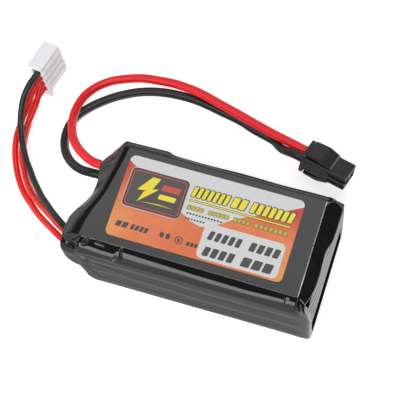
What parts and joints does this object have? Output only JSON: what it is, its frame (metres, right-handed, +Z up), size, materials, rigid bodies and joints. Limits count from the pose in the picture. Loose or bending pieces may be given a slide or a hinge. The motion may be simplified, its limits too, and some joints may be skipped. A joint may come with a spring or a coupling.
{
  "type": "lipo battery pack",
  "caption": "Brick of pouch cells in black shrink wrap with a printed label, a pinched wire end, a thick discharge lead with a latched plug and a ribbon of thin balance leads with a plug.",
  "frame": {"origin": "under the middle of the pack, on the surface it lies on; the leads and their plugs are left out of the middle", "axes": "+X along the pack to its plain end, away from the leads; +Y across the pack, away from the long front side; +Z up through the label"},
  "size_m": [0.0888, 0.0573, 0.023],
  "materials": {
    "wrap_film": "semi-gloss black heat-shrink film",
    "label_print": "glossy printed sticker, orange and pale grey",
    "plate": "matt",
    "pouch": "satin laminated film",
    "nickel": "satin nickel",
    "seal_film": "matt",
    "foam": "closed-cell foam",
    "board": "solder-mask green",
    "cover_paper": "matt",
    "solder": "bright solder",
    "red_lead": "satin silicone",
    "black_lead": "satin silicone",
    "contact": "tinned",
    "black_nylon": "moulded, satin",
    "white_nylon": "moulded, satin"
  },
  "bodies": {
    "pack": {"shrink_wrap": "wrap_film", "label": "label_print", "top_plate": "plate", "bottom_plate": "plate", "foam_tape_1": "foam", "foam_tape_2": "foam", "end_pad": "foam", "tab_board": "board", "terminal_cover": "cover_paper", "solder_main_pos": "solder", "solder_main_neg": "solder", "main_wire_red": "red_lead", "main_wire_black": "black_lead", "balance_wire_black": "black_lead", "balance_plug": "white_nylon", "discharge_plug": "black_nylon", "discharge_contact_pos": "contact", "discharge_contact_neg": "contact", "cell_1": "pouch", "balance_wire_red_1": "red_lead", "tab_1_neg": "nickel", "film_1_neg": "seal_film", "tab_1_pos": "nickel", "film_1_pos": "seal_film", "cell_2": "pouch", "balance_wire_red_2": "red_lead", "tab_2_neg": "nickel", "film_2_neg": "seal_film", "tab_2_pos": "nickel", "film_2_pos": "seal_film", "cell_3": "pouch", "balance_wire_red_3": "red_lead", "tab_3_neg": "nickel", "film_3_neg": "seal_film", "tab_3_pos": "nickel", "film_3_pos": "seal_film", "solder_balance_1": "solder", "balance_contact_1": "contact", "solder_balance_2": "solder", "balance_contact_2": "contact", "solder_balance_3": "solder", "balance_contact_3": "contact", "solder_balance_4": "solder", "balance_contact_4": "contact"},
    "latch_upper": {"latch_upper": "black_nylon"},
    "latch_lower": {"latch_lower": "black_nylon"}
  },
  "joints": [
    {"name": "latch_upper_squeeze", "type": "hinge", "parent": "pack", "child": "latch_upper", "pos_m": [0.02517, 0.02931, 0.00691], "axis": [-0.2146, -0.9149, 0.342], "range_deg": [0, 5], "stiffness_Nm_per_rad": 0.3},
    {"name": "latch_lower_squeeze", "type": "hinge", "parent": "pack", "child": "latch_lower", "pos_m": [0.0248, 0.02774, 0.00249], "axis": [0.2146, 0.9149, -0.342], "range_deg": [0, 5], "stiffness_Nm_per_rad": 0.3}
  ]
}
